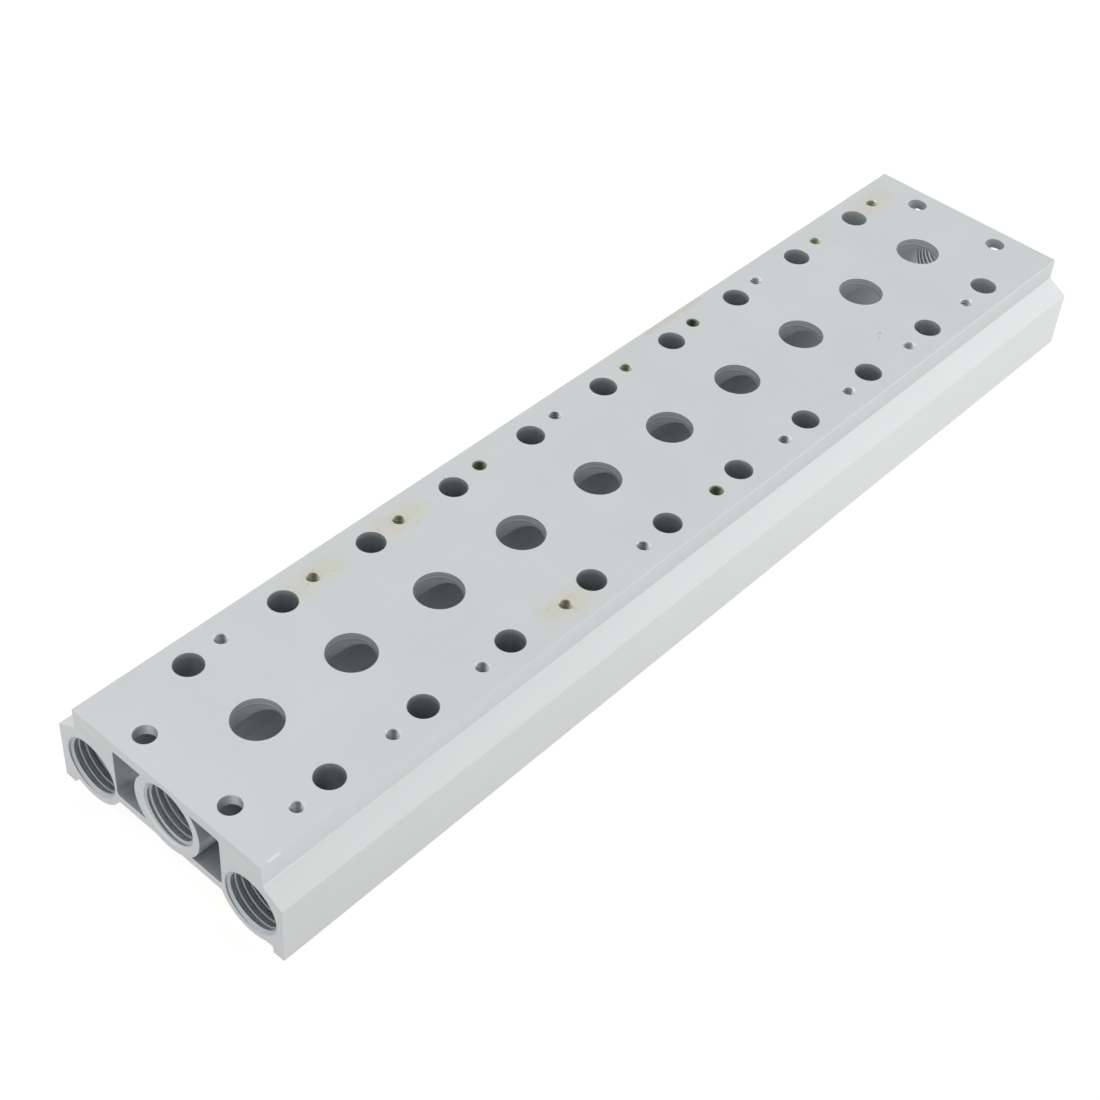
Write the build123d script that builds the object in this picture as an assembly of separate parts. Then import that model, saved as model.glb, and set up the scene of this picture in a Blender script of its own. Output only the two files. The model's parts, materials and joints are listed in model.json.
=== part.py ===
from build123d import *
import os
from math import radians, tan

# Ten-station valve manifold: one aluminium bar, extruded, sawn to length, drilled and tapped.
# Lengths are in millimetres. X runs along the bar, Z points up and the feet stand on Z = 0.

# Stations, one for each valve
station_count = 10
station_pitch = 23.0
end_margin = 21.5  # from the last station's centre to the sawn end

# Holes of one station, seen from the valve
supply_hole_diameter = 10.0
exhaust_hole_diameter = 6.0
exhaust_hole_offset = 18.45  # to each side of the centre line
screw_thread_diameter = 3.0  # M3, cut to its nominal diameter
screw_offset_along = 8.45
screw_offset_across = 19.3
screw_hole_depth = 6.0

# Galleries that run through the bar, and the G1/4 ports at their ends
gallery_diameter = 11.8  # also the tapping drill of the ports
port_thread_diameter = 13.157
port_thread_length = 9.5
supply_port_mouth = 14.0
exhaust_port_mouth = 13.4
supply_gallery_depth = 8.3  # centre below the top face
exhaust_gallery_depth = 13.3
exhaust_gallery_inset = 2.75  # centre outside its own exhaust holes

# Walls of the extruded section
supply_boss_wall = 2.0  # round the supply port's thread
exhaust_boss_wall = 1.32
side_wall = 1.72  # between an exhaust port's thread and the flank
cell_wall = 0.62  # between an exhaust port's thread and the lightening cell
top_plate = 2.5
cell_height = 11.95
web = 1.75

# Shoulders, feet and edges of the section
shoulder_width = 4.8
shoulder_angle = 29.0  # below the horizontal
step_height = 5.05
boss_clearance = 0.5  # under the exhaust bosses, so that the feet alone touch the panel
foot_width = 2.8
foot_height = 1.5
edge_radius = 0.2
cell_corner_radius = 0.8

# Fixing holes through the bar
fixing_hole_diameter = 4.5  # clears M4
fixing_hole_edge_distance = 5.3
fixing_hole_offset = 11.15

overcut = 1.0  # how far a cutter stands clear of the face it enters

# Worked out from the sizes above
length = (station_count - 1) * station_pitch + 2 * end_margin
supply_boss_radius = port_thread_diameter / 2 + supply_boss_wall
exhaust_boss_radius = port_thread_diameter / 2 + exhaust_boss_wall
height = exhaust_gallery_depth + exhaust_boss_radius + boss_clearance
supply_gallery_z = height - supply_gallery_depth
exhaust_gallery_z = height - exhaust_gallery_depth
exhaust_gallery_y = exhaust_hole_offset + exhaust_gallery_inset
half_body = exhaust_gallery_y + port_thread_diameter / 2 + side_wall
half_top = half_body - shoulder_width
cell_side = exhaust_gallery_y - port_thread_diameter / 2 - cell_wall
cell_top = height - top_plate
cell_floor = cell_top - cell_height
web_bottom = cell_floor - web
step_z = height - step_height
shoulder_z = step_z - shoulder_width * tan(radians(shoulder_angle))
galleries = [
    (-exhaust_gallery_y, exhaust_gallery_z, exhaust_boss_radius, exhaust_port_mouth),
    (0.0, supply_gallery_z, supply_boss_radius, supply_port_mouth),
    (exhaust_gallery_y, exhaust_gallery_z, exhaust_boss_radius, exhaust_port_mouth),
]
station_places = GridLocations(station_pitch, 0, station_count, 1)


def bar_outline():
    """Outside of the section: top plate, shoulders and flanks, feet and the three round bosses."""
    right = [
        (half_body, web_bottom),
        (half_body, shoulder_z),
        (half_top, step_z),
        (half_top, height),
    ]
    left = [(-y, z) for y, z in reversed(right)]
    outline = make_face(Polyline(right + left, close=True))
    envelope = Rectangle(2 * half_body, height, align=(Align.CENTER, Align.MIN))
    for y, z, boss_radius, _ in galleries:
        outline += Pos(y, z) * Circle(boss_radius) & envelope
    flank_width = half_body - exhaust_gallery_y
    flank = Rectangle(flank_width, web_bottom - foot_height, align=(Align.MAX, Align.MIN))
    foot = Rectangle(foot_width, foot_height, align=(Align.MAX, Align.MIN))
    lower = Pos(half_body, foot_height) * flank + Pos(half_body, 0) * foot
    outline += lower
    outline += mirror(lower, Plane.YZ)
    return fillet(outline.vertices(), edge_radius)


def cells():
    """The two lightening cells, each closed on its inner side by the round wall of the supply gallery."""
    room = Pos(0, cell_floor) * Rectangle(2 * cell_side, cell_height, align=(Align.CENTER, Align.MIN))
    room = fillet(room.vertices(), cell_corner_radius)
    return room - Pos(0, supply_gallery_z) * Circle(supply_boss_radius)


def section():
    """The extruded section with its galleries and cells open."""
    profile = bar_outline() - cells()
    for y, z, _, _ in galleries:
        profile -= Pos(y, z) * Circle(gallery_diameter / 2)
    return profile


def drill(diameter, depth):
    """A drill's cut with its mouth at the origin, going down -Z to its full depth."""
    cut = Cylinder(diameter / 2, depth + overcut, align=(Align.CENTER, Align.CENTER, Align.MIN))
    return Pos(0, 0, -depth) * cut


def port(mouth_diameter):
    """A tapped port with its mouth at the origin: countersink, thread and the tap's lead into the gallery."""
    mouth, thread, bore = mouth_diameter / 2, port_thread_diameter / 2, gallery_diameter / 2
    half = Polyline(
        (0, overcut),
        (mouth, overcut),
        (mouth, 0),
        (thread, thread - mouth),
        (thread, -port_thread_length),
        (bore, -port_thread_length - (thread - bore)),
        (0, -port_thread_length - (thread - bore)),
        close=True,
    )
    return revolve(Plane.XZ * make_face(half), Axis.Z)


def station_holes():
    """Supply hole, two exhaust holes and two diagonal tapped holes of one station, from the top face."""
    supply = drill(supply_hole_diameter, supply_gallery_depth)
    exhaust = drill(exhaust_hole_diameter, exhaust_gallery_depth)
    screw = drill(screw_thread_diameter, screw_hole_depth)
    return [supply] + [
        Pos(0, side * exhaust_hole_offset) * exhaust for side in (-1, 1)
    ] + [
        Pos(side * screw_offset_along, side * screw_offset_across) * screw for side in (-1, 1)
    ]


def manifold_block():
    """The finished bar."""
    bar = extrude(Plane.YZ * section(), length / 2, both=True)
    cutters = [place * hole for place in station_places for hole in station_holes()]
    fixing_span = length - 2 * fixing_hole_edge_distance
    for place in GridLocations(fixing_span, 2 * fixing_hole_offset, 2, 2):
        cutters.append(place * drill(fixing_hole_diameter, height))
    cutters = [Pos(0, 0, height) * cutter for cutter in cutters]
    for y, z, _, mouth_diameter in galleries:
        for end in (-1, 1):
            cutters.append(Pos(end * length / 2, y, z) * Rot(0, end * 90, 0) * port(mouth_diameter))
    return bar - cutters


os.makedirs("parts", exist_ok=True)
block = manifold_block()
export_step(block, "parts/manifold_block.step")
print(f"length {length:.1f}, width {2 * half_body:.1f}, height {height:.2f} mm")
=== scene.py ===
# %% [markdown]
# # A ten-station valve manifold in bare aluminium
#
# The object is one bar: extruded, sawn to length, drilled, tapped and given a matt natural finish.
# Valves are screwed to its top face; air enters and leaves by the threaded ports in its ends. Its form comes
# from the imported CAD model. This lesson adds what the eye reads as metal: broken edges, cut threads, a fine
# grain, die lines, turned rings in the bores, and the oil that assembly left behind.
#
# ## The frame
#
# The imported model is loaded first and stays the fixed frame: the shapes below are placed by its box and by
# the mounts in its record. All lengths are in metres.

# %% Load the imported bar
import json
from math import hypot, pi, radians, sqrt, tau

import bmesh
import bpy
from mathutils import Matrix, Quaternion, Vector


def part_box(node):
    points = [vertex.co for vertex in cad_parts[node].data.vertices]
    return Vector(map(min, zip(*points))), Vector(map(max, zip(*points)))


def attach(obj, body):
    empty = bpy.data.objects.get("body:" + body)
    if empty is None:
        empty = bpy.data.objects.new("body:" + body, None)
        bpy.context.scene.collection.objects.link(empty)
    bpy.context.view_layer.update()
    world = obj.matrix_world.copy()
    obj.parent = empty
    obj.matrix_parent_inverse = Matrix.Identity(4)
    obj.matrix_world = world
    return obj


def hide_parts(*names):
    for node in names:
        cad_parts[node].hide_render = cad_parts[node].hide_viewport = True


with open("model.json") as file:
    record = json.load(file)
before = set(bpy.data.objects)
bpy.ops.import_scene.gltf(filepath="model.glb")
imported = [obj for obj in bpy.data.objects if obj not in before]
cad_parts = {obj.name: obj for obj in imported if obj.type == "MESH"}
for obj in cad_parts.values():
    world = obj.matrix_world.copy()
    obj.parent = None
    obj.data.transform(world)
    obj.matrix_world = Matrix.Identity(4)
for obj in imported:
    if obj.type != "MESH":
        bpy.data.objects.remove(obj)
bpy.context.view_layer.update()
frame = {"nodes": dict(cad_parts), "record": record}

NODE = "manifold_block"
BODY = "root"
MM = 0.001
cad_bar = frame["nodes"][NODE]
low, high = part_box(NODE)
print("bar", [round(side / MM, 2) for side in high - low], "mm,", len(cad_bar.data.polygons), "faces")

# %% [markdown]
# ## Where the holes are
#
# The record's mounts give the ports and the valve screws. The round holes between them, which only carry
# air, stand at fixed distances from the centre line. A search of the mesh for round loops would find all
# of them too, but it wouldn't tell which is which, and a finish needs that.

# %% Read the ports and the stations
mounts = {mount["name"]: mount for mount in frame["record"]["mounts"]}
ports = []
for mount in mounts.values():
    if mount["kind"] == "threaded_hole":
        place = Vector(mount["pos_m"])
        radius = mount["dims"]["r_mm"] * MM
        lead = high.x - abs(place.x) - mount["dims"]["length_mm"] * MM / 2
        ports.append({
            "name": mount["name"],
            "side": 1 if place.x > 0 else -1,
            "y": place.y,
            "z": place.z,
            "thread_radius": radius,
            "mouth_radius": radius + lead,
        })
screw_patterns = [mount for name, mount in mounts.items() if name.startswith("station_")]
station_places = sorted(mount["pos_m"][0] for mount in screw_patterns)
SUPPLY_RADIUS = 5.0 * MM
EXHAUST_RADIUS = 3.0 * MM
EXHAUST_ACROSS = 18.45 * MM
SCREW_RADIUS = screw_patterns[0]["dims"]["hole_r_mm"] * MM
SCREW_DEPTH = 6.0 * MM
SCREW_ALONG = 8.45 * MM
SCREW_ACROSS = sqrt((screw_patterns[0]["dims"]["pcd_mm"] * MM / 2) ** 2 - SCREW_ALONG ** 2)
fixing = mounts["panel_fixing"]["dims"]
FIXING_ALONG = fixing["spacing_x_mm"] * MM / 2
FIXING_ACROSS = fixing["spacing_y_mm"] * MM / 2
FIXING_RADIUS = fixing["hole_r_mm"] * MM
print(len(ports), "ports,", len(station_places), "stations, screws", round(SCREW_ACROSS / MM, 2), "mm across")

# %% List every hole in the top face
top_holes = []
for x in station_places:
    top_holes.append((x, 0.0, SUPPLY_RADIUS))
    for side in (-1, 1):
        top_holes.append((x, side * EXHAUST_ACROSS, EXHAUST_RADIUS))
        top_holes.append((x + side * SCREW_ALONG, side * SCREW_ACROSS, SCREW_RADIUS))
for end in (-1, 1):
    for side in (-1, 1):
        top_holes.append((end * FIXING_ALONG, side * FIXING_ACROSS, FIXING_RADIUS))
print(len(top_holes), "holes in the top face")

# %% [markdown]
# ## The view
#
# A long lens looks down on the bar from beyond its near end. A camera could be aimed with a Track To
# constraint. Here it is placed by two angles, a roll and a distance from one point on the top face, so that
# each of them can be changed by itself.

# %% Place the camera
VIEW_AZIMUTH = radians(-51.497)
VIEW_ELEVATION = radians(43.742)
VIEW_ROLL = radians(5.060)
VIEW_DISTANCE = 389.994 * MM
AIM = Vector((-34.165 * MM, -7.326 * MM, high.z))
FOCAL_LENGTH = 65.536
SENSOR_WIDTH = 36.0
camera_data = bpy.data.cameras.new("product_camera")
camera_data.lens = FOCAL_LENGTH
camera_data.sensor_width = SENSOR_WIDTH
camera_data.clip_start = 0.01
camera = bpy.data.objects.new("product_camera", camera_data)
bpy.context.scene.collection.objects.link(camera)
back = Quaternion((0, 0, 1), VIEW_AZIMUTH) @ Quaternion((1, 0, 0), -VIEW_ELEVATION) @ Vector((0, -1, 0))
camera.location = AIM + VIEW_DISTANCE * back
camera.rotation_mode = "QUATERNION"
camera.rotation_quaternion = back.to_track_quat("Z", "Y") @ Quaternion((0, 0, 1), VIEW_ROLL)
bpy.context.scene.camera = camera
print("camera at", [round(value / MM, 1) for value in camera.location], "mm")

# %% [markdown]
# ## Node trees
#
# The tent, the floor and the metals are all made of shader nodes. Set and linked one by one they take many
# lines and hide what they do. These helpers make a node, set it and link it in one call.

# %% Helpers for node trees
def set_inputs(tree, node, **inputs):
    """Gives each named or numbered input of a node its value, or a link to a socket."""
    for label, value in inputs.items():
        socket = node.inputs[int(label[1:])] if label[0] == "_" else node.inputs[label.replace("_", " ")]
        if isinstance(value, bpy.types.NodeSocket):
            tree.links.new(value, socket)
        else:
            socket.default_value = value


def add_node(tree, kind, settings=None, **inputs):
    """A new node with its settings and inputs."""
    made = tree.nodes.new(kind)
    for label, value in (settings or {}).items():
        setattr(made, label, value)
    set_inputs(tree, made, **inputs)
    return made


def math_node(tree, operation, first, second=0.0):
    """The result of one sum on two values."""
    return add_node(tree, "ShaderNodeMath", {"operation": operation}, _0=first, _1=second).outputs[0]


def vector_node(tree, operation, first, second=(0.0, 0.0, 0.0)):
    """The vector result of one sum on two vectors."""
    return add_node(tree, "ShaderNodeVectorMath", {"operation": operation}, _0=first, _1=second).outputs[0]


def ramp(tree, value, start, end, low_value=0.0, high_value=1.0):
    """A value carried smoothly from one range to another."""
    settings = {"interpolation_type": "SMOOTHSTEP"}
    return add_node(tree, "ShaderNodeMapRange", settings, Value=value, From_Min=start, From_Max=end,
                    To_Min=low_value, To_Max=high_value).outputs[0]


print("node helpers are ready")

# %% [markdown]
# ## The light
#
# Matt aluminium shows the room more than it shows a lamp. Bare lamps would leave hot spots on the flats, so
# it is lit by a white tent: an even pale surround, one soft panel to the right that lifts the shoulder and
# the flank towards the far end, and a small window high at the back for the threads' glints.
# The tent looks whiter to the camera than to the metal, so that the backdrop stays clean.

# %% Raise the tent
TENT_GLOW = 0.735
TENT_SEEN = 1.0

scene = bpy.context.scene
scene.view_settings.view_transform = "Standard"
scene.view_settings.look = "None"
world = bpy.data.worlds.new("white_tent")
world.use_nodes = True
tent_nodes = world.node_tree
rays = add_node(tent_nodes, "ShaderNodeLightPath").outputs["Is Camera Ray"]
glow = add_node(tent_nodes, "ShaderNodeMapRange", Value=rays, To_Min=TENT_GLOW, To_Max=TENT_SEEN)
set_inputs(tent_nodes, tent_nodes.nodes["Background"], Color=(1.0, 1.0, 1.0, 1.0), Strength=glow.outputs[0])
scene.world = world


def add_panel(name, direction, distance, size, energy):
    """A square light panel that faces the middle of the bar."""
    data = bpy.data.lights.new(name, "AREA")
    data.size = size
    data.energy = energy
    panel = bpy.data.objects.new(name, data)
    scene.collection.objects.link(panel)
    outward = Vector(direction).normalized()
    panel.location = outward * distance
    panel.rotation_mode = "QUATERNION"
    panel.rotation_quaternion = outward.to_track_quat("Z", "Y")
    print(name, "stands at", [round(value, 2) for value in panel.location], "m")


add_panel("side_panel", (0.80, -0.50, 0.35), 0.75, 0.75, 0.42)
add_panel("window", (-0.30, 0.54, 0.80), 2.0, 0.60, 2.3)

# %% [markdown]
# The floor is a sheet of pale paper. The flank mirrors it, so it glows a little by itself, and more towards
# the far end, where the panel stands. A lamp aimed at it could do the same, but would light the bar too.
# The camera sees the floor brighter than the metal does, which keeps the shadow faint.

# %% Lay the floor
FLOOR_GLOW_NEAR = 0.46
FLOOR_GLOW_FAR = 0.61
FLOOR_SEEN = 0.83

bpy.ops.object.select_all(action="DESELECT")
bpy.ops.mesh.primitive_plane_add(size=6.0, location=(0, 0, low.z))
floor = bpy.context.active_object
floor.name = "floor"
floor_paint = bpy.data.materials.new("pale_floor")
floor_paint.use_nodes = True
floor_nodes = floor_paint.node_tree
rays = add_node(floor_nodes, "ShaderNodeLightPath").outputs["Is Camera Ray"]
place = add_node(floor_nodes, "ShaderNodeTexCoord").outputs["Object"]
place = add_node(floor_nodes, "ShaderNodeSeparateXYZ", Vector=place)
glow = add_node(floor_nodes, "ShaderNodeMapRange", Value=place.outputs["X"], From_Min=low.x,
                From_Max=high.x / 2, To_Min=FLOOR_GLOW_NEAR, To_Max=FLOOR_GLOW_FAR)
seen = add_node(floor_nodes, "ShaderNodeMix", Factor=rays, A=glow.outputs[0], B=FLOOR_SEEN)
set_inputs(floor_nodes, floor_nodes.nodes["Principled BSDF"], Base_Color=(0.28, 0.28, 0.28, 1.0),
           Roughness=1.0, Specular_IOR_Level=0.0, Emission_Color=(1.0, 1.0, 0.99, 1.0),
           Emission_Strength=seen.outputs["Result"])
floor.data.materials.append(floor_paint)
print("floor glows from", FLOOR_GLOW_NEAR, "to", FLOOR_GLOW_FAR)

# %% [markdown]
# ## Shader node groups
#
# Each effect that several finishes share is a node group with named sockets. The groups put out masks and
# heights only; the metal shader stays in each material, where its own constants are set. All patterns
# read Object coordinates, in metres, so a scale of 5000 means detail of a fifth of a millimetre. Painted
# image textures would need unwrapping, and would blur close up; these patterns stay sharp at any distance.

# %% Start a node group
def new_group(name, inputs, outputs):
    """An empty shader node group with float or vector inputs and float outputs."""
    group = bpy.data.node_groups.new(name, "ShaderNodeTree")
    for label, value in inputs.items():
        kind = "NodeSocketVector" if isinstance(value, tuple) else "NodeSocketFloat"
        group.interface.new_socket(label, in_out="INPUT", socket_type=kind).default_value = value
    for label in outputs:
        group.interface.new_socket(label, in_out="OUTPUT", socket_type="NodeSocketFloat")
    print("group", name, "takes", ", ".join(inputs), "and gives", ", ".join(outputs))
    return group, group.nodes.new("NodeGroupInput"), group.nodes.new("NodeGroupOutput")


print("node groups so far:", len(bpy.data.node_groups))

# %% [markdown]
# ### Grain
#
# The etch that makes aluminium matt leaves a skin like fine paper. Two noises make it: a fine one for the
# etch itself and a broad one for the cloudiness that a bath leaves over a centimetre or two. Displacing
# the mesh would need millions of faces, so the fine noise is only a bump, and the clouds are colour.

# %% Grain group
grain_group, source, result = new_group(
    "etched_grain", {"Position": (0.0, 0.0, 0.0), "Fine Scale": 5000.0, "Cloud Scale": 60.0},
    ["Grain", "Cloud"])
fine = add_node(grain_group, "ShaderNodeTexNoise", Vector=source.outputs["Position"],
                Scale=source.outputs["Fine Scale"], Detail=2.0, Roughness=0.6)
cloud = add_node(grain_group, "ShaderNodeTexNoise", Vector=source.outputs["Position"],
                 Scale=source.outputs["Cloud Scale"], Detail=4.0, Roughness=0.55)
set_inputs(grain_group, result, Grain=fine.outputs[0], Cloud=cloud.outputs[0])
print("grain of", round(1 / (5000.0 * MM), 2), "mm, clouds of", round(1 / (60.0 * MM), 1), "mm")

# %% [markdown]
# ### Die lines
#
# The bar was pushed through a steel die, and every small fault on the die's edge drew a line along its
# whole length. A wave texture gives such lines too, but evenly spaced ones. A noise that is stretched along
# the bar gives lines of every width, long in X and narrow across.

# %% Die line group
line_group, source, result = new_group(
    "die_lines", {"Position": (0.0, 0.0, 0.0), "Line Scale": 1800.0, "Stretch": 0.004}, ["Lines"])
squeeze = add_node(line_group, "ShaderNodeCombineXYZ", X=source.outputs["Stretch"], Y=1.0, Z=1.0).outputs[0]
squeezed = vector_node(line_group, "MULTIPLY", source.outputs["Position"], squeeze)
lines = add_node(line_group, "ShaderNodeTexNoise", Vector=squeezed, Scale=source.outputs["Line Scale"],
                 Detail=3.0, Roughness=0.7)
set_inputs(line_group, result, Lines=lines.outputs[0])
print("a fault of", round(1 / (1800.0 * MM), 2), "mm draws a line", round(1 / (1800.0 * 0.004), 2), "m long")

# %% [markdown]
# ### Turned rings
#
# A drill leaves shallow rings, one for each turn it fed. They lie across the hole's axis, so they follow
# one coordinate. A sine of it would give rings like a screw's; a noise in one dimension makes no two rings
# alike, and a second noise wavers them a little.

# %% Turned ring group
ring_group, source, result = new_group(
    "turned_rings", {"Position": (0.0, 0.0, 0.0), "Axis Place": 0.0, "Rings per Metre": 2400.0}, ["Rings"])
waver = add_node(ring_group, "ShaderNodeTexNoise", Vector=source.outputs["Position"], Scale=220.0, Detail=2.0)
phase = math_node(ring_group, "MULTIPLY", source.outputs["Axis Place"], source.outputs["Rings per Metre"])
phase = math_node(ring_group, "ADD", phase, math_node(ring_group, "MULTIPLY", waver.outputs[0], 1.6))
rings = add_node(ring_group, "ShaderNodeTexNoise", {"noise_dimensions": "1D"}, W=phase, Scale=1.0, Detail=2.0)
set_inputs(ring_group, result, Rings=rings.outputs[0])
print("one ring every", round(1 / (2400.0 * MM), 2), "mm")

# %% [markdown]
# ### Marks at a place
#
# Oil stains, specks, a nick and thin painted highlights all sit at a known place. They are often painted on
# an image. A patch that is made from a place and a size needs no image and moves with its hole: it is the
# distance to a small box round the place, made ragged with noise. Stains pass a wide reach, a nick a very
# short one.

# %% Patch group
patch_group, source, result = new_group(
    "patch", {"Position": (0.0, 0.0, 0.0), "Centre": (0.0, 0.0, 0.0), "Half Size": (0.0, 0.0, 0.0),
              "Reach": 0.002, "Raggedness": 0.0, "Ragged Scale": 500.0}, ["Mask"])
offset = vector_node(patch_group, "SUBTRACT", source.outputs["Position"], source.outputs["Centre"])
outside = vector_node(patch_group, "ABSOLUTE", offset)
outside = vector_node(patch_group, "SUBTRACT", outside, source.outputs["Half Size"])
outside = vector_node(patch_group, "MAXIMUM", outside)
distance = add_node(patch_group, "ShaderNodeVectorMath", {"operation": "LENGTH"}, _0=outside).outputs["Value"]
ragged = add_node(patch_group, "ShaderNodeTexNoise", Vector=source.outputs["Position"],
                  Scale=source.outputs["Ragged Scale"], Detail=3.0)
push = math_node(patch_group, "SUBTRACT", ragged.outputs[0], 0.5)
push = math_node(patch_group, "MULTIPLY", push, source.outputs["Raggedness"])
share = math_node(patch_group, "DIVIDE", distance, source.outputs["Reach"])
share = math_node(patch_group, "ADD", share, push)
set_inputs(patch_group, result, Mask=ramp(patch_group, share, 1.0, 0.0))
print(len(bpy.data.node_groups), "node groups")

# %% [markdown]
# ## Finishes
#
# All finishes are the same alloy. What differs is what touched the surface last: the etch bath, the saw,
# the drill or the tap. One material with many masks could hold them all, but it would be slow to read.
# Instead each finish below starts from one function that lays down the metal with its grain and a thin
# clear oxide coat, and then adds its own marks.

# %% A base for every finish
COAT_ROUGHNESS = 0.35
COAT_IOR = 1.6


def start_finish(name, roughness, metallic, grain_height):
    """A metal material with its grain: returns the parts that a finish goes on to use."""
    material = bpy.data.materials.new(name)
    material.use_nodes = True
    tree = material.node_tree
    shader = tree.nodes["Principled BSDF"]
    position = tree.nodes.new("ShaderNodeTexCoord").outputs["Object"]
    grain = add_node(tree, "ShaderNodeGroup", {"node_tree": grain_group}, Position=position)
    bump = add_node(tree, "ShaderNodeBump", Height=grain.outputs["Grain"], Strength=0.35,
                    Distance=grain_height)
    set_inputs(tree, shader, Metallic=metallic, Roughness=roughness, Coat_Weight=1.0,
               Coat_Roughness=COAT_ROUGHNESS, Coat_IOR=COAT_IOR, Normal=bump.outputs[0])
    return {"material": material, "tree": tree, "shader": shader, "position": position,
            "grain": grain.outputs["Grain"], "cloud": grain.outputs["Cloud"]}


def colour_finish(finish, colour):
    """Gives a finish its colour and hands back the finished material."""
    set_inputs(finish["tree"], finish["shader"], Base_Color=colour)
    print(finish["material"].name, "has", len(finish["tree"].nodes), "nodes")
    return finish["material"]


print("coat: roughness", COAT_ROUGHNESS, "and index", COAT_IOR)

# %% [markdown]
# A metal's base colour is how much of each colour it reflects, so bare aluminium is near white, and a mark
# changes that colour by a share from 0 to 1. A second shader for each mark could do it too, but it would
# take longer to render.

# %% Colours and how they mix
def colour_of(red, green, blue):
    """A colour with the fourth value that its socket asks for."""
    return (red, green, blue, 1.0)


BRIGHT_METAL = colour_of(0.98, 0.98, 0.98)
MIRROR_METAL = colour_of(1.0, 1.0, 1.0)


def mix_colour(tree, share, first, second):
    """Goes from the first colour to the second by a share from 0 to 1."""
    settings = {"data_type": "RGBA", "clamp_factor": True}
    return add_node(tree, "ShaderNodeMix", settings, _0=share, _6=first, _7=second).outputs[2]


def lay_on(finish, mask, strength, under, over):
    """Lays a colour over another where the mask is, at less than its full strength."""
    tree = finish["tree"]
    return mix_colour(tree, math_node(tree, "MULTIPLY", mask, strength), under, over)


print("bright metal", BRIGHT_METAL[:3])

# %% [markdown]
# Some marks cross from one finish to the next: a nick on an edge, painted bright as a highlight, shows on
# both of its faces. So a mark is placed once, in the bar's own coordinates, and any finish can ask for it.
# Two places of the section are needed for that: how far out the top plate's edge lies, and how deep the
# step beside it is.

# %% Marks that several finishes share
SHOULDER_FOOT = -24.7 * MM
STEP_DEPTH = 5.05 * MM
STEP_Z = high.z - STEP_DEPTH


def use_group(finish, group, **inputs):
    """What a node group with one output gives at each place of a finish."""
    return add_node(finish["tree"], "ShaderNodeGroup", {"node_tree": group}, Position=finish["position"],
                    **inputs).outputs[0]


def mark(finish, centre, half_size, reach, raggedness, ragged_scale):
    """The mask of one patch, placed in the bar's own coordinates."""
    return use_group(finish, patch_group, Centre=centre, Half_Size=half_size, Reach=reach,
                     Raggedness=raggedness, Ragged_Scale=ragged_scale)


def all_of(tree, masks):
    """The strongest of several masks at each place."""
    total = masks[0]
    for mask in masks[1:]:
        total = math_node(tree, "MAXIMUM", total, mask)
    return total


def front_nick_glint(finish):
    """A short nick on the top's front edge, close to the near end, painted bright as a highlight."""
    centre = (-121.9 * MM, SHOULDER_FOOT + 0.1 * MM, high.z)
    return mark(finish, centre, (1.1 * MM, 0.0, 0.0), 0.60 * MM, 0.6, 3000.0)


def place_of(finish):
    """The X, Y and Z of each place."""
    return add_node(finish["tree"], "ShaderNodeSeparateXYZ", Vector=finish["position"]).outputs


def blend(finish, cloud_share):
    """Die lines and clouds, added up in shares that make one."""
    tree = finish["tree"]
    lines = math_node(tree, "MULTIPLY", use_group(finish, line_group), 1.0 - cloud_share)
    return math_node(tree, "ADD", lines, math_node(tree, "MULTIPLY", finish["cloud"], cloud_share))


print("the step's foot is", round(STEP_Z / MM, 2), "mm above the floor")

# %% [markdown]
# ### The etched skin
#
# The shoulders, flanks and feet are as the die and the etch bath left them: pale, matt, and streaked along
# the bar so faintly that it hardly shows. Half of the streaks comes from the die lines and half from the
# clouds. A bump would make the lines sharper than they are, so they are colour alone. Near one end a thin
# painted highlight runs along the foot of the step, and the edge above it has a nick painted bright as a
# glint.

# %% The etched skin
def make_skin():
    finish = start_finish("etched_skin", 0.46, 1.0, 0.02 * MM)
    tree = finish["tree"]
    streaks = ramp(tree, blend(finish, 0.5), 0.3, 0.7)
    colour = mix_colour(tree, streaks, colour_of(0.86, 0.885, 0.885), colour_of(0.88, 0.905, 0.905))
    # The nick, painted bright as a highlight, and a painted highlight along the foot of the step.
    nick_and_painted_highlight = all_of(tree, [
        front_nick_glint(finish),
        mark(finish, (-119.0 * MM, SHOULDER_FOOT, STEP_Z), (5.0 * MM, 0.0, 0.0), 0.28 * MM, 0.5, 900.0),
    ])
    colour = mix_colour(tree, nick_and_painted_highlight, colour, BRIGHT_METAL)
    return colour_finish(finish, colour)


skin = make_skin()

# %% [markdown]
# ### The top face
#
# The top is a little darker than the skin and shows the clouds more than the die lines. It also carries
# what tapping and assembly left round the small holes: wide pale stains with rusty flecks, oil at a mouth,
# or oil deep in a thread. Each hole is named by its station, counted from the near end, and by its side, 1
# at the back and -1 in front, so that the stains stay with their holes if the bar changes. Typed places
# would be shorter, but they are kept for marks that belong to no hole.

# %% Which holes are oily, and where the specks lie
STAINED = [(2, 1), (3, 1), (4, -1), (10, 1)]
OILED = [(6, 1), (9, 1)]
SOAKED = [(4, 1), (7, 1), (6, -1)]
SPECKS = [(70.9, -12.1, 0.45), (69.6, -12.9, 0.30), (61.0, 22.6, 0.25), (-34.0, 21.5, 0.30),
          (12.4, -22.8, 0.25)]


def screw_place(station, side):
    """Centre of a station's valve screw on the top face; stations count from the near end."""
    return (station_places[station - 1] + side * SCREW_ALONG, side * SCREW_ACROSS, high.z)


print(len(STAINED + OILED + SOAKED), "of", 2 * len(station_places), "screw holes hold oil")

# %% [markdown]
# The marks are laid one over another, the wide ones first: stains, the flecks in them, a stain along the
# back edge, oil, and at last the specks. Each is weak enough to let the metal show through.

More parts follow.
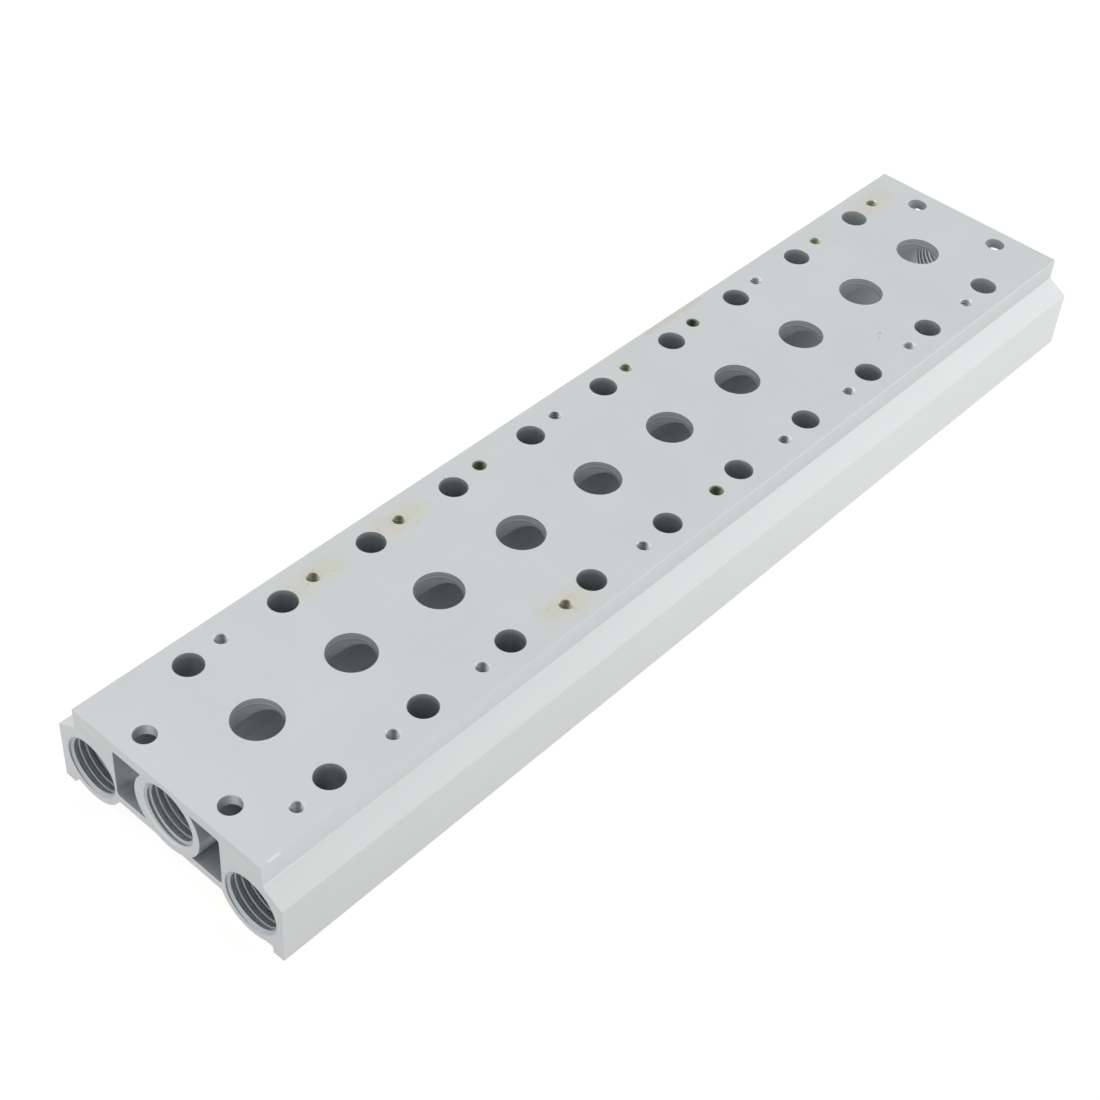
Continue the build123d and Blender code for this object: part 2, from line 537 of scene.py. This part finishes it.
# %% Marks on the top face
def patches(finish, places, half_length, reach, raggedness, ragged_scale):
    """One mask for patches of one kind at several places."""
    half_size = (half_length, 0.0, 0.0)
    masks = [mark(finish, place, half_size, reach, raggedness, ragged_scale) for place in places]
    return all_of(finish["tree"], masks)


def add_assembly_marks(finish, colour):
    """Stains, flecks, oil and specks over the top's own colour."""
    tree = finish["tree"]
    stain = patches(finish, [screw_place(*hole) for hole in STAINED], 4.5 * MM, 5.0 * MM, 1.0, 260.0)
    noise = add_node(tree, "ShaderNodeTexNoise", Vector=finish["position"], Scale=1500.0, Detail=1.0)
    flecks = math_node(tree, "MULTIPLY", ramp(tree, noise.outputs[0], 0.66, 0.74), stain)
    back_place = (41.5 * MM, -SHOULDER_FOOT - 0.8 * MM, high.z)
    back_edge = mark(finish, back_place, (9.0 * MM, 0.0, 0.0), 1.6 * MM, 1.4, 500.0)
    oily = [screw_place(*hole) for hole in STAINED + OILED + SOAKED]
    oil = patches(finish, oily, 0.0, 2.3 * MM, 0.7, 900.0)
    specks = all_of(tree, [mark(finish, (x * MM, y * MM, high.z), (0.0, 0.0, 0.0), size * MM, 0.5, 3000.0)
                           for x, y, size in SPECKS])
    colour = lay_on(finish, stain, 0.75, colour, colour_of(0.80, 0.785, 0.68))
    colour = lay_on(finish, flecks, 0.7, colour, colour_of(0.56, 0.49, 0.36))
    colour = lay_on(finish, back_edge, 0.5, colour, colour_of(0.74, 0.68, 0.55))
    colour = lay_on(finish, oil, 0.35, colour, colour_of(0.52, 0.47, 0.33))
    return lay_on(finish, specks, 0.7, colour, colour_of(0.30, 0.27, 0.22))


print(len(STAINED), "stains and", len(SPECKS), "specks")

# %% [markdown]
# The same finish runs down over the step beside the top plate, which is painted lighter towards the near
# end: painted light. A finish of its own would need a seam right on the plate's rounded edge. Here the
# top's colour gives way to the step's just below that edge, over a fifth of a millimetre.

# %% The top face and the step beside it
def make_top():
    finish = start_finish("etched_top", 0.46, 1.0, 0.02 * MM)
    tree = finish["tree"]
    streaks = ramp(tree, blend(finish, 0.7), 0.3, 0.7)
    colour = mix_colour(tree, streaks, colour_of(0.78, 0.815, 0.825), colour_of(0.81, 0.845, 0.855))
    place = place_of(finish)
    below_top = ramp(tree, place["Z"], high.z - 0.15 * MM, high.z - 0.35 * MM)
    # Painted light: the step is lighter towards the near end.
    painted_light_near_end = ramp(tree, place["X"], 40.0 * MM, low.x)
    step_colour = mix_colour(tree, painted_light_near_end, colour_of(0.765, 0.775, 0.785), colour_of(0.90, 0.91, 0.925))
    colour = mix_colour(tree, below_top, colour, step_colour)
    colour = add_assembly_marks(finish, colour)
    # The nick, painted white as a highlight on the top's front edge.
    colour = mix_colour(tree, front_nick_glint(finish), colour, MIRROR_METAL)
    return colour_finish(finish, colour)


top_finish = make_top()

# %% [markdown]
# ### The sawn ends
#
# A saw cut the bar to length, and its teeth left fine scratches across the end. They are so long and so
# faint that they look straight, so a noise that is stretched across the bar gives them. Modelled grooves
# would be too fine to see and would cost many faces.

# %% The sawn ends
def make_end():
    finish = start_finish("sawn_end", 0.42, 1.0, 0.02 * MM)
    tree = finish["tree"]
    stretched = vector_node(tree, "MULTIPLY", finish["position"], (1.0, 0.06, 1.0))
    saw = add_node(tree, "ShaderNodeTexNoise", Vector=stretched, Scale=2500.0, Detail=2.0).outputs[0]
    scratches = ramp(tree, saw, 0.35, 0.65)
    colour = mix_colour(tree, scratches, colour_of(0.775, 0.79, 0.805), colour_of(0.815, 0.83, 0.845))
    return colour_finish(finish, colour)


end_finish = make_end()

# %% [markdown]
# ### The holes
#
# The ten supply holes show clear rings from their tool, and one ring just below the mouth, where the tool
# stepped, painted bright as a highlight on that step. The walls of all holes are rougher than the skin and
# hold some dirt. That could be one more mask; it is enough to make them less metallic, so that they stay
# grey where clean metal would flash.

# %% The bored supply holes
TOOL_STEP_DEPTH = 1.25 * MM


def make_bored():
    finish = start_finish("bored_wall", 0.5, 0.6, 0.02 * MM)
    tree = finish["tree"]
    height = place_of(finish)["Z"]
    rings = ramp(tree, use_group(finish, ring_group, Axis_Place=height), 0.36, 0.64)
    colour = mix_colour(tree, rings, colour_of(0.56, 0.61, 0.63), colour_of(0.79, 0.84, 0.85))
    from_step = math_node(tree, "ABSOLUTE", math_node(tree, "SUBTRACT", height, high.z - TOOL_STEP_DEPTH))
    # Painted highlight: a bright ring where the tool stepped.
    colour = mix_colour(tree, ramp(tree, from_step, 0.14 * MM, 0.05 * MM), colour, BRIGHT_METAL)
    return colour_finish(finish, colour)


bored = make_bored()

# %% [markdown]
# The exhaust and fixing holes were only drilled. They are painted light at the mouth and darker further
# down, as painted shade in the hole, and the clouds break up the change. A ramp of the height does that in
# one step, for holes of any size. Towards the far end the walls are painted lighter, as painted light.

# %% The drilled exhaust and fixing holes
DRILLED_BRIGHT = colour_of(0.88, 0.93, 0.92)


def make_drilled(name, fade, deep):
    """A drilled wall: painted light at its mouth, fading over the given depth to its deep colour as painted
    shade, and lighter towards the far end.
    """
    finish = start_finish(name, 0.5, 0.7, 0.02 * MM)
    tree = finish["tree"]
    place = place_of(finish)
    # Painted shade: darker further down the hole, light at the mouth.
    mouth = ramp(tree, place["Z"], high.z - fade, high.z)
    colour = mix_colour(tree, mouth, deep, DRILLED_BRIGHT)
    # Painted light: lighter towards the far end.
    painted_light_far_end = ramp(tree, place["X"], 60.0 * MM, 115.0 * MM, 0.0, 0.5)
    colour = mix_colour(tree, painted_light_far_end, colour, DRILLED_BRIGHT)
    colour = lay_on(finish, finish["cloud"], 0.3, colour, colour_of(0.62, 0.66, 0.67))
    return colour_finish(finish, colour)


exhaust_drilled = make_drilled("exhaust_wall", 1.8 * MM, colour_of(0.50, 0.54, 0.56))
fixing_drilled = make_drilled("fixing_wall", 2.0 * MM, colour_of(0.80, 0.84, 0.85))

# %% [markdown]
# The die made the three galleries and the two cells, as it made the skin, so they keep the die lines. They
# are painted darker than the skin, as painted shade inside the bar, and lighter towards the far end, as
# painted light. The skin's own material would come out too light there.

# %% The galleries and the cells inside the bar
def make_inside(name, dark, light, far):
    """A wall inside the bar: die lines from dark to light, as painted shade, and one colour towards the far
    end, as painted light.
    """
    finish = start_finish(name, 0.6, 0.6, 0.02 * MM)
    tree = finish["tree"]
    colour = mix_colour(tree, ramp(tree, use_group(finish, line_group), 0.3, 0.7), dark, light)
    # Painted light: lighter towards the far end.
    painted_light_far_end = ramp(tree, place_of(finish)["X"], 45.0 * MM, 100.0 * MM)
    colour = mix_colour(tree, painted_light_far_end, colour, far)
    return colour_finish(finish, colour)


# The galleries' and cells' colours are darker than the skin's: painted shade inside the bar.
gallery = make_inside("gallery_wall", dark=colour_of(0.60, 0.64, 0.665), light=colour_of(0.68, 0.72, 0.745),
                      far=colour_of(0.86, 0.89, 0.91))
cell = make_inside("cell_wall", dark=colour_of(0.47, 0.50, 0.515), light=colour_of(0.55, 0.58, 0.59),
                   far=colour_of(0.55, 0.58, 0.59))

# %% [markdown]
# ### Cut metal
#
# Countersinks and threads were cut after the bar was extruded, so they shine a little more than the skin
# and have no die lines; clouds vary them. At the near end, some greenish dirt sits high in the middle port's
# countersink. It is one more patch, laid on weakly, because the metal shows through it.

# %% The cut metal
def make_cut():
    finish = start_finish("cut_metal", 0.42, 1.0, 0.01 * MM)
    tree = finish["tree"]
    clouds = ramp(tree, finish["cloud"], 0.3, 0.7)
    colour = mix_colour(tree, clouds, colour_of(0.72, 0.76, 0.775), colour_of(0.84, 0.87, 0.88))
    dirt = mark(finish, (low.x, 0.0, 19.5 * MM), (0.8 * MM, 5.0 * MM, 1.0 * MM), 2.0 * MM, 1.2, 900.0)
    colour = lay_on(finish, dirt, 0.4, colour, colour_of(0.62, 0.62, 0.55))
    return colour_finish(finish, colour)


cut_metal = make_cut()

# %% [markdown]
# The port threads were cut too, but the tap tore the metal a little and cutting oil has dulled it. The
# clouds would be too broad for ridges this small, so the fine grain takes their place.

# %% The port threads
def make_thread():
    finish = start_finish("thread_metal", 0.42, 1.0, 0.01 * MM)
    tree = finish["tree"]
    torn = ramp(tree, finish["grain"], 0.35, 0.65)
    colour = mix_colour(tree, torn, colour_of(0.54, 0.58, 0.60), colour_of(0.68, 0.71, 0.73))
    return colour_finish(finish, colour)


thread_metal = make_thread()

# %% [markdown]
# Each small thread has painted highlights at its mouth and down two sides: strongly on the side that faces
# the light, a little on the other. Between them it stays dull, and deeper down it is painted dark as shade.
# A lamp for each hole could draw the same two light sides; reading them from the surface normal lets one
# finish serve every hole. The painted highlights are brightest in the near end's threads, towards the far
# end the threads are painted lighter as painted light, and oil darkens and yellows some of the others.

# %% The small threads: clean, oiled and soaked
# The direction that the painted highlight faces.
LIT_SIDE = (-0.62, 0.78, 0.0)
MOUTH_DEPTH = 0.55 * MM


def make_tapped(name, deep, mouth, highlight_colour, far_light_share):
    """A small thread's finish with painted light and shade; towards the far end it takes on a share of its
    mouth's colour.
    """
    finish = start_finish(name, 0.3, 1.0, 0.01 * MM)
    tree = finish["tree"]
    place = place_of(finish)
    # Painted shade: dark deep in the thread, light at the mouth.
    colour = mix_colour(tree, ramp(tree, place["Z"], high.z - MOUTH_DEPTH, high.z), deep, mouth)
    # Painted light: lighter towards the far end.
    painted_light_far_end = ramp(tree, place["X"], 10.0 * MM, 80.0 * MM, 0.0, far_light_share)
    colour = mix_colour(tree, painted_light_far_end, colour, mouth)
    # Painted highlights on the two sides that face the light, the stronger one brightest near the near end.
    facing = tree.nodes.new("ShaderNodeNewGeometry").outputs["Normal"]
    toward_light = add_node(tree, "ShaderNodeVectorMath", {"operation": "DOT_PRODUCT"}, _0=facing, _1=LIT_SIDE)
    toward_light = toward_light.outputs["Value"]
    highlight_near_end = ramp(tree, place["X"], low.x + 15.0 * MM, low.x + 75.0 * MM, 0.95, 0.6)
    lit_side_share = math_node(tree, "MULTIPLY", ramp(tree, toward_light, 0.08, 0.34), highlight_near_end)
    other_side_highlight = ramp(tree, toward_light, -0.12, -0.40, 0.0, 0.4)
    colour = mix_colour(tree, math_node(tree, "MAXIMUM", lit_side_share, other_side_highlight), colour, highlight_colour)
    return colour_finish(finish, colour)


tapped = make_tapped(
    "tapped_clean", deep=colour_of(0.28, 0.30, 0.315), mouth=colour_of(0.80, 0.835, 0.845),
    highlight_colour=MIRROR_METAL, far_light_share=0.75)
tapped_oiled = make_tapped(
    "tapped_oiled", deep=colour_of(0.27, 0.275, 0.16), mouth=colour_of(0.76, 0.76, 0.60),
    highlight_colour=colour_of(0.88, 0.88, 0.74), far_light_share=0.6)
tapped_soaked = make_tapped(
    "tapped_soaked", deep=colour_of(0.08, 0.085, 0.05), mouth=colour_of(0.26, 0.27, 0.17),
    highlight_colour=colour_of(0.25, 0.26, 0.17), far_light_share=0.0)
print(len(bpy.data.materials), "materials")

# %% [markdown]
# ## The bar
#
# The CAD mesh is loose triangles. A copy of it is merged into one skin, and its flat faces are cleaned up.
# Modelling the bar again would give tidier faces, but then each of its sizes would have to be checked.

# %% Merge a copy of the CAD mesh
MERGE_DISTANCE = 0.002 * MM
FLAT_ANGLE = radians(0.5)


def only(piece):
    """Makes one piece the whole selection."""
    bpy.ops.object.select_all(action="DESELECT")
    piece.select_set(True)
    bpy.context.view_layer.objects.active = piece


def edit_all(action="SELECT"):
    """Opens the active piece for editing, with all of it selected or none."""
    bpy.ops.object.mode_set(mode="EDIT")
    bpy.ops.mesh.select_all(action=action)


bar = bpy.data.objects.new("bar", cad_bar.data.copy())
scene.collection.objects.link(bar)
only(bar)
bar.data.materials.clear()
HOLE_FINISH = {
    SUPPLY_RADIUS: bored,
    SCREW_RADIUS: tapped,
    EXHAUST_RADIUS: exhaust_drilled,
    FIXING_RADIUS: fixing_drilled,
}
FINISHES = [skin, top_finish, end_finish, *HOLE_FINISH.values(), gallery, cell, cut_metal, thread_metal]
for finish in FINISHES:
    bar.data.materials.append(finish)
bpy.ops.mesh.customdata_custom_splitnormals_clear()
edit_all()
bpy.ops.mesh.remove_doubles(threshold=MERGE_DISTANCE)
bpy.ops.mesh.mark_sharp(clear=True)
bpy.ops.mesh.dissolve_limited(angle_limit=FLAT_ANGLE)
bpy.ops.object.mode_set(mode="OBJECT")
print("merged bar:", len(bar.data.vertices), "points,", len(bar.data.polygons), "faces")

# %% [markdown]
# Which tool touched a face last follows from where it lies: in a port, in a hole, in a gallery, in a cell,
# on top or outside. So each face is asked for its centre and its direction, and gets its finish from these.
# Picking them by hand would do the same, but would have to be done again when the bar changes.

# %% Give each face its finish
THREAD_REACH = 10.4 * MM
COUNTERSINK_REACH = 1.0 * MM
GALLERY_REACH = 6.0 * MM
CELL_HALF_WIDTH = 14.05 * MM
CELL_HEIGHTS = (7.2 * MM, 19.25 * MM)


def near(value, target, slack=0.01 * MM):
    """True where two lengths agree."""
    return abs(value - target) < slack


def finish_of(centre, normal):
    """Which finish a face of the bar has, from where it lies and where it points."""
    if near(abs(centre.x), high.x) and abs(normal.x) > 0.99:
        return end_finish
    above_step = abs(centre.y) > -SHOULDER_FOOT - 0.3 * MM and centre.z > STEP_Z
    if above_step or near(centre.z, high.z) and normal.z > 0.99:
        return top_finish
    for port in ports:
        depth = high.x - port["side"] * centre.x
        from_axis = hypot(centre.y - port["y"], centre.z - port["z"])
        if 0 < depth < THREAD_REACH and from_axis < port["mouth_radius"]:
            return cut_metal if abs(normal.x) > 0.5 and depth < COUNTERSINK_REACH else thread_metal
    for x, y, radius in top_holes:
        if hypot(centre.x - x, centre.y - y) < radius + 0.02 * MM:
            if abs(normal.z) < 0.1 or near(centre.z, high.z - SCREW_DEPTH):
                return HOLE_FINISH[radius]
    for port in ports:
        if hypot(centre.y - port["y"], centre.z - port["z"]) < GALLERY_REACH:
            return gallery
    if abs(centre.y) < CELL_HALF_WIDTH and CELL_HEIGHTS[0] < centre.z < CELL_HEIGHTS[1]:
        return cell
    return skin


for face in bar.data.polygons:
    face.material_index = FINISHES.index(finish_of(face.center, face.normal))
for index, finish in enumerate(FINISHES):
    print(finish.name, "covers", sum(face.material_index == index for face in bar.data.polygons), "faces")

# %% [markdown]
# No real edge is perfectly sharp. A saw and a drill leave burrs, and a worker breaks them with a file or a
# countersink; the narrow flat that is left catches the light and makes the bar look solid. The long edges
# are already round, because the die made them so. A Bevel modifier would pick edges by their angle and give
# them all one width. Here each kind has a width of its own, so the edges are picked by the two finishes
# that meet there. With loop slide on, the new points would slide along old edges and notch the rims.

# %% Break the sharp edges
RIM_BREAK = 0.07 * MM
SCREW_RIM_BREAK = 0.03 * MM
END_BREAK = 0.08 * MM
SADDLE_BREAK = 0.14 * MM


def break_edges(wanted, width, finish):
    """Bevels the edges that the test picks, and gives the new faces a finish."""
    only(bar)
    bpy.ops.object.mode_set(mode="EDIT")
    bpy.ops.mesh.select_mode(type="EDGE")
    bpy.ops.mesh.select_all(action="DESELECT")
    editing = bmesh.from_edit_mesh(bar.data)
    count = 0
    for edge in editing.edges:
        if len(edge.link_faces) == 2 and wanted(edge):
            edge.select = True
            count += 1
    bmesh.update_edit_mesh(bar.data)
    bpy.ops.mesh.bevel(offset=width, segments=1, profile=0.5, clamp_overlap=False, loop_slide=False,
                       material=FINISHES.index(finish))
    bpy.ops.object.mode_set(mode="OBJECT")
    return count


print("rims lose", round(RIM_BREAK / MM, 2), "mm, sawn edges", round(END_BREAK / MM, 2), "mm")

# %% [markdown]
# The mouths of the holes keep the top's finish on their broken edge, and the wide breaks where supply holes
# meet the gallery are bright cut metal. A single call could take all of them, but not with four widths.

# %% Rims, saddles and ends
def joins(edge, first, second):
    """True where one face of the edge has the first finish and the other has the second."""
    found = {FINISHES[face.material_index] for face in edge.link_faces}
    return found == {first, second}


screw_rims = break_edges(lambda edge: joins(edge, top_finish, tapped), SCREW_RIM_BREAK, top_finish)
air_rims = sum(break_edges(lambda edge: joins(edge, top_finish, finish), RIM_BREAK, top_finish)
               for finish in (bored, exhaust_drilled, fixing_drilled))
saddles = break_edges(lambda edge: joins(edge, gallery, bored), SADDLE_BREAK, cut_metal)


def at_end(edge):
    """True where just one face of the edge is on a sawn end."""
    faces = [FINISHES[face.material_index] for face in edge.link_faces]
    return faces.count(end_finish) == 1


end_edges = break_edges(at_end, END_BREAK, end_finish)
print("edges broken:", screw_rims, air_rims, saddles, end_edges)

# %% [markdown]
# Round walls are many narrow flats, so their shading is blended across any edge that turns by less than 32
# degrees. The weighted normals then pull each normal towards the larger face beside it, which keeps the
# wide flats flat right up to their narrow broken edges. More faces could do it too, at a far higher cost.

# %% Smooth the round walls and keep the flats flat
SMOOTH_ANGLE = radians(32)
only(bar)
bpy.ops.object.shade_smooth_by_angle(angle=SMOOTH_ANGLE)
bpy.ops.object.modifier_add(type="WEIGHTED_NORMAL")
bar.modifiers[-1].keep_sharp = True
bar.modifiers[-1].weight = 100
bpy.ops.object.modifier_apply(modifier=bar.modifiers[-1].name)
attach(bar, BODY)
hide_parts(NODE)
print("finished bar:", len(bar.data.polygons), "faces")

# %% [markdown]
# ## Threads
#
# A tap cuts a helical groove, and what stands between its turns is a ridge. The bar's holes are as wide
# as the bottom of that groove, so each thread is added as the ridge alone. A bump map would be quicker but
# flat in profile, and here the light catches the ridges' real crests.
#
# The ridge's section starts as a plane, is narrowed towards its crest and has its corners rounded; only
# its outline is kept. It could be typed in as points, but then every change of size would mean new points.

# %% Draw a ridge's section
CORNER_SHARE = 0.22


def ridge_section(name, start, crest_radius, root_radius, crest_width, base_width):
    """The outline of a ridge's section, as far along the X axis as start says, above that axis."""
    bpy.ops.object.select_all(action="DESELECT")
    mid_radius = (root_radius + crest_radius) / 2
    bpy.ops.mesh.primitive_plane_add(size=1.0, rotation=(pi / 2, 0, 0))
    ridge = bpy.context.active_object
    ridge.name = ridge.data.name = name
    bpy.ops.object.transform_apply(location=True, rotation=True, scale=True)
    edit_all()
    bpy.ops.transform.resize(value=(base_width, 1.0, root_radius - crest_radius))
    bpy.ops.transform.translate(value=(start, 0.0, mid_radius))
    bpy.ops.mesh.select_all(action="DESELECT")
    editing = bmesh.from_edit_mesh(ridge.data)
    editing.select_mode = {"VERT"}
    for point in editing.verts:
        point.select = point.co.z < mid_radius
    editing.select_flush_mode()
    bmesh.update_edit_mesh(ridge.data)
    narrowing = crest_width / base_width
    bpy.ops.transform.resize(value=(narrowing, 1.0, 1.0), center_override=(start, 0.0, crest_radius))
    bpy.ops.mesh.bevel(offset=crest_width * CORNER_SHARE, segments=2, affect="VERTICES")
    bpy.ops.mesh.select_all(action="SELECT")
    bpy.ops.mesh.delete(type="ONLY_FACE")
    bpy.ops.object.mode_set(mode="OBJECT")
    print(name, "has a section of", len(ridge.data.vertices), "points")
    return ridge


# %% [markdown]
# A screw modifier sweeps that outline round the axis and along it, one pitch for each turn. A curve with a
# helix would do it too, but the modifier takes the pitch as it is. The two open ends are then filled, so
# that the ridge is a closed body, which the countersink's boolean needs.

# %% Sweep one ridge
def sweep_ridge(name, pitch, crest_radius, root_radius, crest_width, base_width, first_depth, turns, steps):
    """A right-handed ridge round the X axis; its first crest passes +Y at the given depth along +X."""
    start = first_depth + pitch / 4 - 2 * pitch
    ridge = ridge_section(name, start, crest_radius, root_radius, crest_width, base_width)
    bpy.ops.object.modifier_add(type="SCREW")
    screw = ridge.modifiers[-1]
    screw.axis = "X"
    screw.angle = tau
    screw.screw_offset = pitch
    screw.iterations = turns
    screw.steps = screw.render_steps = steps
    bpy.ops.object.modifier_apply(modifier=screw.name)
    edit_all()
    bpy.ops.mesh.fill_holes(sides=0)
    bpy.ops.mesh.select_all(action="SELECT")
    bpy.ops.mesh.normals_make_consistent(inside=False)
    bpy.ops.object.mode_set(mode="OBJECT")
    print(name, "is swept through", turns, "turns of", round(pitch / MM, 3), "mm")
    return ridge


# %% [markdown]
# A thread doesn't start at full height: the countersink has cut its first turns away at 45 degrees. The
# tool for that is a cone with a wide block on its base, so that one cut, where two could be made, takes
# both the first turns and what stands out of the face.

# %% Shape the countersink's tool
CONE_SIDES = 96


def cone_tool(mouth_radius):
    """A 45 degree cone that points along +X, with a wider block behind its base."""
    bpy.ops.object.select_all(action="DESELECT")
    bpy.ops.mesh.primitive_cone_add(vertices=CONE_SIDES, radius1=mouth_radius, radius2=0.0,
                                    depth=mouth_radius, location=(mouth_radius / 2, 0, 0),
                                    rotation=(0, pi / 2, 0))
    tool = bpy.context.active_object
    bpy.ops.object.transform_apply(location=True, rotation=True, scale=True)
    edit_all("DESELECT")
    editing = bmesh.from_edit_mesh(tool.data)
    for face in editing.faces:
        if face.normal.x < -0.99:
            face.select = True
    bmesh.update_edit_mesh(tool.data)
    bpy.ops.mesh.extrude_region_move(TRANSFORM_OT_translate={"value": (0.0, 0.0, 0.0)})
    bpy.ops.transform.resize(value=(1.0, 2.0, 2.0), center_override=(0.0, 0.0, 0.0))
    bpy.ops.mesh.extrude_region_move(TRANSFORM_OT_translate={"value": (-mouth_radius, 0.0, 0.0)})
    bpy.ops.mesh.select_all(action="SELECT")
    bpy.ops.mesh.normals_make_consistent(inside=False)
    bpy.ops.object.mode_set(mode="OBJECT")
    return tool


print("the tool's cone has", CONE_SIDES, "sides")

# %% [markdown]
# An exact boolean takes the tool away from the ridge. It leaves a few slivers thinner than a micrometre,
# which would shade badly and add nothing, so they are dissolved.

# %% Trim the ridge with it
SLIVER = 0.001 * MM


def countersink(ridge, mouth_radius):
    """Cuts away what stands outside the face and inside a 45 degree cone from the mouth."""
    tool = cone_tool(mouth_radius)
    only(ridge)
    bpy.ops.object.modifier_add(type="BOOLEAN")
    trim = ridge.modifiers[-1]
    trim.operation = "DIFFERENCE"
    trim.solver = "EXACT"
    trim.object = tool
    bpy.ops.object.modifier_apply(modifier=trim.name)
    edit_all()
    bpy.ops.mesh.dissolve_degenerate(threshold=SLIVER)
    bpy.ops.object.mode_set(mode="OBJECT")
    bpy.data.objects.remove(tool)
    print(ridge.name, "is trimmed to", len(ridge.data.polygons), "faces")


# %% [markdown]
# Each ridge is modelled once and copied to its holes. The copies have their own meshes, already turned and
# moved, so that every object sits unturned at the origin and Object coordinates mean the same place in all
# of them. Linked copies would be lighter, but their patterns would repeat from hole to hole.

# %% Copy it into its hole
THREAD_SMOOTH_ANGLE = radians(25)


def place_copy(model, name, turn, place, finish):
    """A copy of a finished ridge with its own mesh and finish, turned and moved into its hole."""
    piece = bpy.data.objects.new(name, model.data.copy())
    scene.collection.objects.link(piece)
    piece.data.transform(Matrix.Translation(place) @ turn)
    piece.data.materials.clear()
    piece.data.materials.append(finish)
    only(piece)
    bpy.ops.object.shade_smooth_by_angle(angle=THREAD_SMOOTH_ANGLE)
    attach(piece, BODY)
    return piece


print("threads are smoothed up to", round(THREAD_SMOOTH_ANGLE * 180 / pi), "degrees")

# %% [markdown]
# ### The ports
#
# The ports take pipe threads, with 55 degrees between the flanks and 19 turns to the inch. The crest is as
# wide as the tapping drill left it. The outer ports were tapped from a slightly different start than the
# middle one, so two ridges are swept and shared by all six mouths. Each bites a little into its hole's
# wall, so that no gap shows at its root.

# %% Thread the six ports
PORT_PITCH = 25.4 * MM / 19
PORT_CREST_RADIUS = 5.91 * MM
PORT_BITE = 0.04 * MM
PORT_CREST_WIDTH = 0.46 * MM
PORT_BASE_WIDTH = 1.16 * MM
FIRST_CREST = {"supply": 1.84 * MM, "exhaust": 1.06 * MM}
PORT_TURNS = 9
PORT_STEPS = 72

port_ridges = {}
for port in ports:
    kind = port["name"].split("_")[0]
    if kind not in port_ridges:
        ridge = sweep_ridge("ridge_" + kind, PORT_PITCH, PORT_CREST_RADIUS, port["thread_radius"] + PORT_BITE,
                            PORT_CREST_WIDTH, PORT_BASE_WIDTH, FIRST_CREST[kind], PORT_TURNS, PORT_STEPS)
        countersink(ridge, port["mouth_radius"])
        port_ridges[kind] = ridge
    turn = Matrix.Rotation(pi if port["side"] > 0 else 0.0, 4, "Z")
    thread = place_copy(port_ridges[kind], port["name"] + "_thread", turn,
                        Vector((port["side"] * high.x, port["y"], port["z"])), thread_metal)
    print(thread.name, len(thread.data.polygons), "faces")
for ridge in port_ridges.values():
    bpy.data.objects.remove(ridge)

# %% [markdown]
# ### The valve screw holes
#
# Two small screws hold each valve, set on a diagonal. All twenty holes share one ridge, with half a
# millimetre to a turn, which costs one sweep and one cut. Only the finish tells a clean hole from an oily
# one.

# %% Thread the valve screw holes
SCREW_PITCH = 0.5 * MM
SCREW_CREST_RADIUS = 1.24 * MM
SCREW_MOUTH_RADIUS = 1.43 * MM
SCREW_BITE = 0.03 * MM
SCREW_CREST_WIDTH = 0.13 * MM
SCREW_BASE_WIDTH = 0.46 * MM
SCREW_FIRST_CREST = 0.03 * MM
SCREW_TURNS = 13
SCREW_STEPS = 28


def thread_finish(hole):
    """A small thread's finish, from what its hole holds."""
    if hole in SOAKED:
        return tapped_soaked
    return tapped_oiled if hole in STAINED + OILED else tapped


ridge = sweep_ridge("ridge_screw", SCREW_PITCH, SCREW_CREST_RADIUS, SCREW_RADIUS + SCREW_BITE,
                    SCREW_CREST_WIDTH, SCREW_BASE_WIDTH, SCREW_FIRST_CREST, SCREW_TURNS, SCREW_STEPS)
countersink(ridge, SCREW_MOUTH_RADIUS)
downward = Matrix.Rotation(pi / 2, 4, "Y")
for number in range(1, len(station_places) + 1):
    for side, word in ((-1, "front"), (1, "back")):
        thread = place_copy(ridge, f"station_{number:02d}_thread_{word}", downward,
                            Vector(screw_place(number, side)), thread_finish((number, side)))
print("screw threads:", len(thread.data.polygons), "faces each")
bpy.data.objects.remove(ridge)
